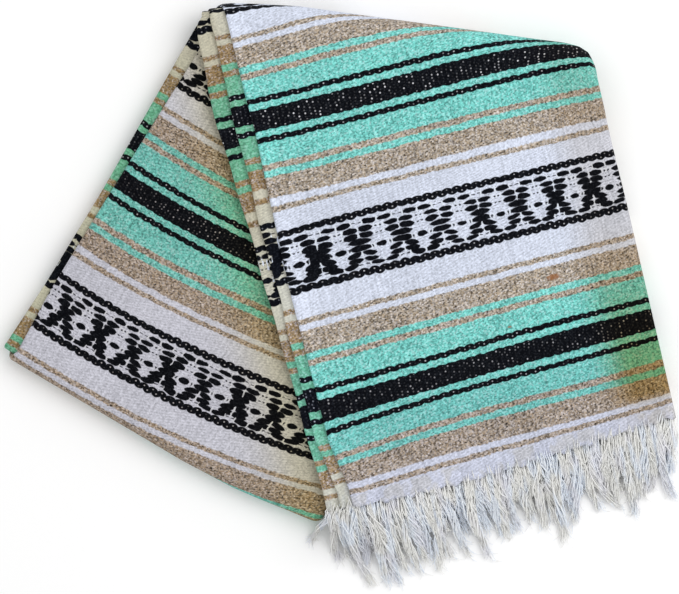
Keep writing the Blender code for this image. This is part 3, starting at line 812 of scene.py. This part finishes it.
    # painted shade in the slits between the ropes' lumps
    black_yarn = finish.blend(thin_slits.larger(chain_slits), black_yarn, SLIT_PAINTED_SHADE)
    coloured = finish.blend(dark, coloured, black_yarn)
    shine = (specks * thick).larger(thin_specks * 0.7).larger(chain_specks * 0.8)
    coloured = finish.blend(shine, coloured, SPECK)
    for place_across, place_along, half_length, half_height in SLUBS:
        slub = ((across - place_across) / half_length) ** 2.0 + ((along - place_along) / half_height) ** 2.0
        coloured = finish.blend((1.0 - (slub + coarse * 1.6).soft_step(0.2, 1.2)) * 0.8, coloured, SLUB)
    # the tone attribute: slow colour changes, painted shade and a painted highlight among them
    tone = finish.node("ShaderNodeAttribute", {"attribute_name": "tone"})["Color"]
    coloured = finish.times(coloured, tone)

    # Relief: round weft yarns that pass over and under, fuller black yarns, small pits between
    yarn_round = abs((along * (pi / pitch_along)).cosine())
    over = ((across / pitch_across + row * 0.5) * (2 * pi)).cosine() * 0.5 + 0.5
    relief = yarn_round * 0.5 + over * 0.35 + coarse * 0.6 + dark * 0.9 + cell * 0.5
    bump = finish.node("ShaderNodeBump", None, {"Strength": settings.relief, "Distance": 0.0008, "Height": relief})
    finish.fill({
        "Base Color": coloured, "Normal": bump["Normal"], "Roughness": 0.94 - dark * 0.06,
        "Specular IOR Level": 0.04, "Sheen Weight": 0.012, "Sheen Roughness": 0.5,
    })
    return finish.material


def fringe_finish(name, settings):
    """Loose white cotton yarn: cream and cool tassels, patches of painted grey-blue shade, fine twist lines."""
    finish = Finish(name)
    place = finish.node("ShaderNodeTexCoord")["Object"]
    split = finish.node("ShaderNodeSeparateXYZ", None, {"Vector": place})
    across = (split["X"] * FLAP_ACROSS[0] + split["Y"] * FLAP_ACROSS[1]) * 1000.0
    down = (split["X"] * FLAP_ACROSS[1] - split["Y"] * FLAP_ACROSS[0]) * 1000.0
    side = finish.cloud(across / 10.0, down / 55.0)["Fac"]
    tint = finish.blend(side.soft_step(0.46, 0.60), tuple(settings.cream), tuple(settings.cool))
    # patches of painted shade: the grey-blue of the white yarn in shade, laid at random
    other = finish.cloud(across / 16.0 + 30.0, down / 40.0)["Fac"]
    tint = finish.blend(other.soft_step(0.5, 0.72) * 0.7, tint, tuple(settings.lavender_painted_shade))
    fine = finish.cloud(across / 0.7, down / 2.4)["Fac"] - 0.5
    light = 1.0 + fine * 0.22
    bump = finish.node("ShaderNodeBump", None, {"Strength": 0.35, "Distance": 0.0005, "Height": fine})
    finish.fill({
        "Base Color": finish.times(tint, finish.grey(light)), "Normal": bump["Normal"], "Roughness": 0.9,
        "Specular IOR Level": 0.1, "Subsurface Weight": 0.6, "Subsurface Scale": 0.0015,
        "Subsurface Radius": (1.0, 1.0, 1.0), "Sheen Weight": 0.10,
    })
    return finish.material


# ---- Settings ----
def colour_property(name, description, default):
    return bpy.props.FloatVectorProperty(
        name=name, description=description, default=default, size=3, min=0.0, max=1.0, subtype="COLOR")


def number_property(name, description, default, low=0.0, **limits):
    return bpy.props.FloatProperty(name=name, description=description, default=default, min=low, **limits)


def length_property(name, description, default):
    return number_property(name, description, default, unit="LENGTH")


def count_property(name, description, default, low=0):
    return bpy.props.IntProperty(name=name, description=description, default=default, min=low)


class ClothSettings(bpy.types.PropertyGroup):
    thickness: length_property("Thickness", "Thickness of the woven cloth", 0.0028)
    row_step: length_property("Row step", "Distance between the mesh's rows down the strip", 0.0026)
    across_steps: count_property("Across steps", "Mesh columns over a flap's face", 128, 8)
    mint: colour_property("Mint", "Mint yarn", (0.178, 0.592, 0.540))
    tan: colour_property("Tan", "Heathered tan yarn", (0.375, 0.320, 0.262))
    white: colour_property("White", "White yarn", (0.645, 0.690, 0.810))
    black: colour_property("Black", "Black yarn", (0.0025, 0.003, 0.005))
    worn_black: colour_property("Worn black", "Black yarn where it is rubbed", (0.012, 0.014, 0.019))
    pale_cool: colour_property("White thread", "White threads that show through", (0.740, 0.790, 0.870))
    lilac: colour_property("Lilac", "Pale yarn in the heathered tan", (0.560, 0.525, 0.530))
    end_cream: colour_property("End cream", "Cream patches of the white end by the fringe", (0.560, 0.550, 0.490))
    golden: colour_property("Golden", "Golden yarn in the heathered tan", (0.300, 0.210, 0.110))
    # The folded edges' colours are the flap's yarn colours made darker and warmer: painted shade
    edge_mint_painted_shade: colour_property("Edge mint", "Mint yarn at the folded edges", (0.150, 0.430, 0.270))
    edge_tan_painted_shade: colour_property("Edge tan", "Tan yarn at the folded edges", (0.290, 0.190, 0.085))
    edge_white_painted_shade: colour_property("Edge white", "White yarn at the folded edges", (0.570, 0.540, 0.420))
    warp_pitch: length_property("Warp pitch", "Distance from warp yarn to warp yarn", 0.0014)
    weft_pitch: length_property("Weft pitch", "Distance from weft yarn to weft yarn", 0.0012)
    speck_rarity: number_property("Speck rarity", "How few of the thick black band's specks are bright", 5.0, 1.0)
    raggedness: number_property("Raggedness", "Unevenness of the stripes' edges, in mm", 1.0)
    relief: number_property("Relief", "Strength of the weave's bump", 0.5, max=1.0)


class FringeSettings(bpy.types.PropertyGroup):
    yarns: count_property("Yarns", "Yarns in each tassel", 34, 2)
    frays: count_property("Frays", "Frayed ends on each yarn of the upper layer", 2)
    yarn_radius: length_property("Yarn radius", "Radius of a fringe yarn", 0.00066)
    cream: colour_property("Cream", "Warm tassels of the white fringe", (0.875, 0.872, 0.840))
    cool: colour_property("Cool", "Cool tassels of the white fringe", (0.830, 0.890, 0.985))
    # A grey-blue that stands for the white yarn in shade: painted shade
    lavender_painted_shade: colour_property("Lavender", "Greyish tassels of the white fringe", (0.830, 0.830, 0.905))
    seed: count_property("Seed", "Seed of the yarns' unevenness", 11)


class StageSettings(bpy.types.PropertyGroup):
    camera_height: length_property("Camera height", "Height of the camera over the floor", 3.6)
    view_width: length_property("View width", "Width that the camera sees at the blanket's height", 0.679)
    floor: colour_property("Floor", "Floor colour", (1.0, 1.0, 1.0))
    sky_strength: number_property("Sky", "Strength of the light from all round", 0.775)
    lamp_power: number_property("Lamp", "Power of the large soft lamp", 37.5, unit="POWER")


# ---- Pieces ----
def front_panel_rows(settings):
    """Rows of the front cloth from its lower end up the flap, round the slanting fold and under it."""
    rows = []
    for share in np.linspace(1.0, 0.0, int(FRONT_LENGTH / settings.row_step)):
        left = read(FRONT_EDGES, front_down(0.0, share))
        across, depth, place = cloth_section(left, settings.across_steps)
        down = front_down(across, share)
        lift = crease_height(FRONT_CREASES, place, down) + end_pleats(place, down)
        lift = lift * (depth < 0.001) * ease((across - left) / 0.02)
        points = on_front(across, down, PACK - depth + lift)
        rows.append((points, figure_place(FRONT_FIGURES, place), front_weave(across, down)))
    last, walked = rows[-1][2], 0.0
    for turn in np.linspace(pi, 0.0, int(FOLD_LENGTH / settings.row_step))[1:]:
        left = mix(BACK_EDGES[0][1], FRONT_EDGES[0][1], turn / pi)
        across, depth, place = cloth_section(left, settings.across_steps)
        points = on_fold(across, turn, PACK - depth)
        walked = walked + np.linalg.norm(points - rows[-1][0], axis=-1)
        rows.append((points, figure_place(FRONT_FIGURES, place), last - walked))
    for away in np.linspace(0.0, SEAM_AWAY - GAP, 4)[1:]:
        across, depth, place = cloth_section(BACK_EDGES[0][1], settings.across_steps)
        down = -(BACK_CORNER[1] - away + across * sin(LAP)) / cos(LAP)
        rows.append((on_back(across, down, PACK - depth), figure_place(FRONT_FIGURES, place), last - walked - away))
    return rows


def back_panel_rows(settings):
    """Rows of the back cloth from the slanting fold's underside down to the bottom fold, round it and up the face."""
    face, nose, under = [], [], []
    count = int(BACK_LENGTH / settings.row_step)
    for share in np.linspace(1.0, 0.0, count):
        left = read(BACK_EDGES, back_down(0.0, share), 4)
        across, depth, place = cloth_section(left, settings.across_steps)
        down = back_down(across, share)
        lift = crease_height(BACK_CREASES, place, down) * (depth < 0.001) * ease((across - left) / 0.02)
        lift = lift * ease((1 - share) * 12)
        face.append((on_back(across, down, depth - lift), figure_place(BACK_FIGURES, place), back_weave(across, down)))
    start = face[0][2]
    for turn in np.linspace(0.0, pi, 15)[1:-1]:
        left = mix(BACK_EDGES[-1][4], BACK_EDGES[-1][1], turn / pi)
        across, depth, place = cloth_section(left, settings.across_steps)
        radius = NOSE_DEPTH - depth
        down = read(BACK_END, across) - NOSE_DEPTH + radius * sin(turn)
        place = figure_place(BACK_FIGURES, place)
        nose.append((on_back(across, down, NOSE_DEPTH - radius * cos(turn)), place, start + turn * NOSE_DEPTH))
    for share in np.linspace(1.0, 0.0, count // 3):
        left = read(BACK_EDGES, back_down(0.0, share), 1)
        across, depth, place = cloth_section(left, settings.across_steps)
        down = back_down(across, share)
        fallen = read(BACK_END, across) - NOSE_DEPTH - down
        place = figure_place(BACK_FIGURES, place)
        under.append((on_back(across, down, PACK - depth), place, start + pi * NOSE_DEPTH + fallen))
    return under[::-1] + nose[::-1] + face


def front_pair_rows(pair, settings):
    """Rings of one hidden pair of the front flap and the slanting fold."""
    low, rings = (4 - pair) * PAIR + GAP / 2, []
    noise = Random(40 + pair)
    # Waves of the left edge: how many half waves for each metre, phase, height
    waves = [(noise.uniform(14, 40), noise.uniform(0, 6), noise.uniform(0.0002, 0.0006)) for _ in range(4)]
    for share in np.linspace(1.0, 0.0, int(FRONT_LENGTH / settings.row_step)):
        level = front_down(0.0, share)
        left = read(FRONT_EDGES, level, pair)
        left += sum(size * sin(level * pace * pi + phase) for pace, phase, size in waves)
        across, height = pair_section(left, low)
        down = front_down(across, share)
        place = across + UNDER_SHIFT * (height < low + PAIR / 2)
        shift = read(FRONT_SHIFTS, level, pair - 1) * MM
        rings.append((on_front(across, down, height), place, front_weave(across, down - shift)))
    last, walked = rings[-1][2], 0.0
    for turn in np.linspace(pi, 0.0, int(FOLD_LENGTH / settings.row_step))[1:]:
        left = mix(BACK_EDGES[0][pair], FRONT_EDGES[0][pair], turn / pi)
        across, height = pair_section(left, low)
        points = on_fold(across, turn, height)
        walked = walked + np.linalg.norm(points - rings[-1][0], axis=-1)
        rings.append((points, across, last - walked))
    return rings


def back_pair_rows(pair, settings):
    """Rings of one hidden pair of the back flap, down into the bottom fold."""
    low, rings = (4 - pair) * PAIR + GAP / 2, []
    for share in np.linspace(0.0, 1.0, int(BACK_LENGTH / settings.row_step)):
        level = back_down(0.0, share)
        left = read(BACK_EDGES, level, pair)
        across, height = pair_section(left, low, BACK_SOFT_EDGES[pair])
        down = back_down(across, share)
        shift = read(BACK_SHIFTS, level, pair - 1) * MM
        rings.append((on_back(across, down, height), across, back_weave(across, down - shift)))
    start = rings[-1][2]
    for turn in np.linspace(0.0, pi / 2 - 0.06, 7)[1:]:
        across, height = pair_section(BACK_EDGES[-1][pair], low, BACK_SOFT_EDGES[pair])
        side = NOSE_DEPTH - height
        down = read(BACK_END, across) - NOSE_DEPTH + abs(side) * sin(turn)
        rings.append((on_back(across, down, NOSE_DEPTH - side * cos(turn)), across, start + turn * abs(side)))
    return rings


def lower_tassels():
    """The lower layer's tassels, between and behind the upper ones."""
    table = np.array(TASSELS, float)
    ends = np.interp(np.arange(0.0, 340.0, LOWER_PITCH), table[:, 0], table[:, 3])
    for number, end in enumerate(ends):
        start = number * LOWER_PITCH + 2.0
        yield start, start - 1.0, start + (3.0 if start < 170 else -5.0), min(end, 562.0) - LOWER_SHORTER, 5.2


def tassel_paths(tassels, settings, random, layer):
    """Splines of one layer of fringe: (points, radii) for each yarn and each frayed end."""
    paths, yarns = [], settings.yarns
    top, bottom, lying, gather_from, gather_over = FRINGE_LAYERS[layer]
    for start, middle, end, reach_down, half_width in tassels:
        a0, a1, a2, d2, half_width = (value * MM for value in (start, middle, end, reach_down, half_width))
        twist, twist_phase = random.uniform(0.5, 1.5) * random.choice((-1, 1)), random.uniform(0, 2 * pi)
        sway, sway_phase = random.uniform(0.0005, 0.0022), random.uniform(0, 2 * pi)
        for yarn in range(yarns):
            # place in the tassel, place of the root, share of the tassel's length, height of the root, waves
            angle = 2 * pi * yarn / yarns + twist_phase + random.uniform(-0.25, 0.25)
            root, deep = random.uniform(-0.0085, 0.0085), random.uniform(0.35, 1.0)
            own = 1.03 - 0.34 * random.random() ** 1.7
            level = top - (top - bottom) * random.random() ** 1.6
            early = 0.0005 + 0.0095 * random.random() ** 1.7 if level > ON_TOP else 0.001
            wave, wave_phase = random.uniform(0.0004, 0.0013), random.uniform(0, 2 * pi)
            wave_pace = random.uniform(1.2, 3.0)
            stray = random.gauss(0, 0.0022)
            points, radii = [], []
            for step in range(YARN_STEPS + 1):
                t = own * step / YARN_STEPS
                gather = ease((t - gather_from) / gather_over)
                width = half_width * (1 - 0.55 * ease((t - 0.5) / 0.5)) * deep
                turn = angle + twist * 2 * pi * t
                middle_line = a0 * (1 - t) * (1 - 2 * t) + a1 * 4 * t * (1 - t) + a2 * t * (2 * t - 1)
                a = middle_line + mix(root, width * cos(turn), gather) + sway * sin(5 * t + sway_phase) * gather
                a += wave * sin(2 * pi * wave_pace * t + wave_phase) + stray * max(0.0, t - 0.55) / 0.45
                d0 = lower_end(min(max(a0 + root, 0.0), FLAP_WIDTH))
                d = mix(d0 - early, d2, t)
                ground = lying + width * 0.5 * (1 + sin(turn))
                start_z = on_front(np.array(min(a0 + root, FLAP_WIDTH)), np.array(d0), 0.0)[2] + level
                base = on_front(np.array(a), np.array(d), 0.0)
                fall = t if layer == 0 else (d - d0) / LOWER_FALL
                z = mix(start_z, ground, ease(max(0.0, fall * 1.25 - 0.06)) ** 0.85)
                points.append((base[0], base[1], max(z, 0.0012)))
                ends = (0.55 + 0.45 * min(1.0, (YARN_STEPS - step) / 3)) * min(1.0, 0.35 + step * 0.65)
                radii.append(settings.yarn_radius * ends * random.uniform(0.9, 1.1))
            paths.append((points, radii))
            # frayed ends, which bend off to one side
            for _ in range(settings.frays if layer == 0 else 1):
                begin = random.randrange(4, YARN_STEPS + 1)
                origin = np.array(points[begin])
                heading = origin - np.array(points[begin - 1])
                heading /= np.linalg.norm(heading)
                side = np.array((heading[1], -heading[0], 0.0)) * random.choice((-1, 1))
                reach, bend = random.uniform(0.003, 0.009), random.uniform(0.1, 0.9)
                loose = []
                for step in range(FRAY_STEPS + 1):
                    s = step / FRAY_STEPS
                    p = origin + heading * reach * s + side * reach * bend * s ** 1.5
                    loose.append((p[0], p[1], max(p[2] * (1 - 0.5 * s), 0.0006)))
                paths.append((loose, [settings.yarn_radius * (0.55 - 0.08 * s) for s in range(FRAY_STEPS + 1)]))
    return paths


def yarn_piece(name, paths):
    """Yarns as one bevelled curve, converted to a mesh."""
    curve = bpy.data.curves.new(name, "CURVE")
    curve.dimensions, curve.bevel_depth, curve.bevel_resolution = "3D", 1.0, 0
    curve.use_fill_caps = True
    for points, radii in paths:
        spline = curve.splines.new("POLY")
        spline.points.add(len(points) - 1)
        spline.points.foreach_set("co", [value for point in points for value in (*point, 1.0)])
        spline.points.foreach_set("radius", radii)
    made = bpy.data.objects.new(name, curve)
    bpy.context.scene.collection.objects.link(made)
    bpy.ops.object.select_all(action="DESELECT")
    made.select_set(True)
    bpy.context.view_layer.objects.active = made
    bpy.ops.object.convert(target="MESH")
    made = bpy.context.object
    made.name = made.data.name = name
    bpy.ops.object.shade_smooth()
    return made


def outer_cloth(context, name, panel_rows, tone):
    """The front or the back cloth. Both share the striped cloth's material, which the first one makes."""
    settings = context.scene.blanket_cloth
    piece = sheet_from_rows(name, panel_rows(settings))
    thicken(piece, settings.thickness)
    if "flap_weave" not in bpy.data.materials:
        striped_finish("flap_weave", settings, settings.mint, settings.tan, settings.white, settings.black)
    give(piece, bpy.data.materials["flap_weave"], tone)
    return piece


class BLANKET_OT_front(bpy.types.Operator):
    """The front flap's cloth with the slanting fold"""
    bl_idname = "blanket.front"
    bl_label = "Front Flap Cloth"

    def execute(self, context):
        piece = outer_cloth(context, "front_cloth", front_panel_rows, front_tone)
        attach(piece, "root")
        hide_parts("front_flap_cloth")
        return {"FINISHED"}


class BLANKET_OT_back(bpy.types.Operator):
    """The back flap's cloth, round the bottom fold and along the underside"""
    bl_idname = "blanket.back"
    bl_label = "Back Flap Cloth"

    def execute(self, context):
        piece = outer_cloth(context, "back_cloth", back_panel_rows, back_tone)
        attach(piece, "root")
        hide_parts("back_flap_cloth")
        return {"FINISHED"}


class BLANKET_OT_edges(bpy.types.Operator):
    """The hidden layers with their folded edges"""
    bl_idname = "blanket.edges"
    bl_label = "Folded Edges"

    def execute(self, context):
        settings = context.scene.blanket_cloth
        tubes = [tube_from_rows("pair", front_pair_rows(pair, settings)) for pair in (2, 3, 4)]
        tubes += [tube_from_rows("pair", back_pair_rows(pair, settings)) for pair in (2, 3)]
        piece = join(tubes, "folded_edges")
        # the folded edges' material is the cloth's, with darker and warmer colours: painted shade
        colours = (settings.edge_mint_painted_shade, settings.edge_tan_painted_shade, settings.edge_white_painted_shade, settings.black)
        give(piece, striped_finish("edge_weave_painted_shade", settings, *colours, grain=0.7), edge_tone)
        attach(piece, "root")
        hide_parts("folded_layers")
        return {"FINISHED"}


class BLANKET_OT_fringe(bpy.types.Operator):
    """Both layers of the loose cotton fringe"""
    bl_idname = "blanket.fringe"
    bl_label = "Fringe"

    def execute(self, context):
        settings = context.scene.blanket_fringe
        material = fringe_finish("loose_yarn", settings)
        layers = (("upper_fringe", "fringe_upper", TASSELS), ("lower_fringe", "fringe_lower", lower_tassels()))
        for layer, (name, node, tassels) in enumerate(layers):
            piece = yarn_piece(name, tassel_paths(tassels, settings, Random(settings.seed + layer), layer))
            give(piece, material)
            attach(piece, "root")
            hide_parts(node)
        front = bpy.data.objects["front_cloth"]
        return {"FINISHED"}


class BLANKET_OT_stage(bpy.types.Operator):
    """Pale floor, soft light and the camera straight above"""
    bl_idname = "blanket.stage"
    bl_label = "Stage"

    def execute(self, context):
        settings = context.scene.blanket_stage
        bpy.ops.object.select_all(action="DESELECT")
        bpy.ops.mesh.primitive_plane_add(size=FLOOR_SIZE, location=(0.0, 0.0, FLOOR_HEIGHT))
        floor = context.object
        floor.name = "floor"
        bpy.ops.object.transform_apply(location=True)
        finish = Finish("floor")
        place = finish.node("ShaderNodeTexCoord")["Object"]
        cloud = finish.noise(place, 3.0)["Fac"] * 0.01 + 0.995
        colour = finish.times(tuple(settings.floor), finish.grey(cloud))
        finish.fill({"Base Color": colour, "Roughness": 0.9, "Specular IOR Level": 0.1})
        give(floor, finish.material)

        world = bpy.data.worlds.new("soft_sky")
        context.scene.world = world
        world.use_nodes = True
        sky = world.node_tree.nodes["Background"].inputs
        sky["Color"].default_value, sky["Strength"].default_value = (1.0, 1.0, 1.0, 1.0), settings.sky_strength
        lamp = bpy.data.lights.new("soft_lamp", "AREA")
        lamp.shape, lamp.size, lamp.energy = "DISK", LAMP_SIZE, settings.lamp_power
        holder = bpy.data.objects.new("soft_lamp", lamp)
        context.scene.collection.objects.link(holder)
        holder.location = LAMP_PLACE
        holder.rotation_euler = (-holder.location).to_track_quat("-Z", "Y").to_euler()

        camera = bpy.data.cameras.new("camera")
        seen = settings.camera_height - PACK
        camera.sensor_width = SENSOR_WIDTH
        camera.lens = camera.sensor_width * seen / settings.view_width
        camera.clip_end = CLIP_END
        holder = bpy.data.objects.new("camera", camera)
        context.scene.collection.objects.link(holder)
        holder.location = (*CAMERA_PLACE, settings.camera_height)
        context.scene.camera = holder
        context.scene.view_settings.view_transform = "Standard"
        return {"FINISHED"}


class BLANKET_PT_panel(bpy.types.Panel):
    bl_idname = "BLANKET_PT_panel"
    bl_label = "Folded Blanket"
    bl_space_type = "VIEW_3D"
    bl_region_type = "UI"
    bl_category = "Blanket"

    def draw(self, context):
        for operator in OPERATORS:
            self.layout.operator(operator.bl_idname)
        for settings in SETTINGS:
            group = getattr(context.scene, settings)
            for name in group.__annotations__:
                self.layout.prop(group, name)


OPERATORS = (BLANKET_OT_stage, BLANKET_OT_front, BLANKET_OT_back, BLANKET_OT_edges, BLANKET_OT_fringe)
SETTINGS = {"blanket_cloth": ClothSettings, "blanket_fringe": FringeSettings, "blanket_stage": StageSettings}


def register():
    for made in (*SETTINGS.values(), *OPERATORS, BLANKET_PT_panel):
        bpy.utils.register_class(made)
    for name, group in SETTINGS.items():
        setattr(bpy.types.Scene, name, bpy.props.PointerProperty(type=group))


def unregister():
    for name in SETTINGS:
        delattr(bpy.types.Scene, name)
    for made in (BLANKET_PT_panel, *reversed(OPERATORS), *reversed(SETTINGS.values())):
        bpy.utils.unregister_class(made)


def main():
    register()
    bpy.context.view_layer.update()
    bpy.ops.blanket.stage()
    bpy.ops.blanket.front()
    bpy.ops.blanket.back()
    bpy.ops.blanket.edges()
    bpy.ops.blanket.fringe()


if __name__ == "__main__":
    main()
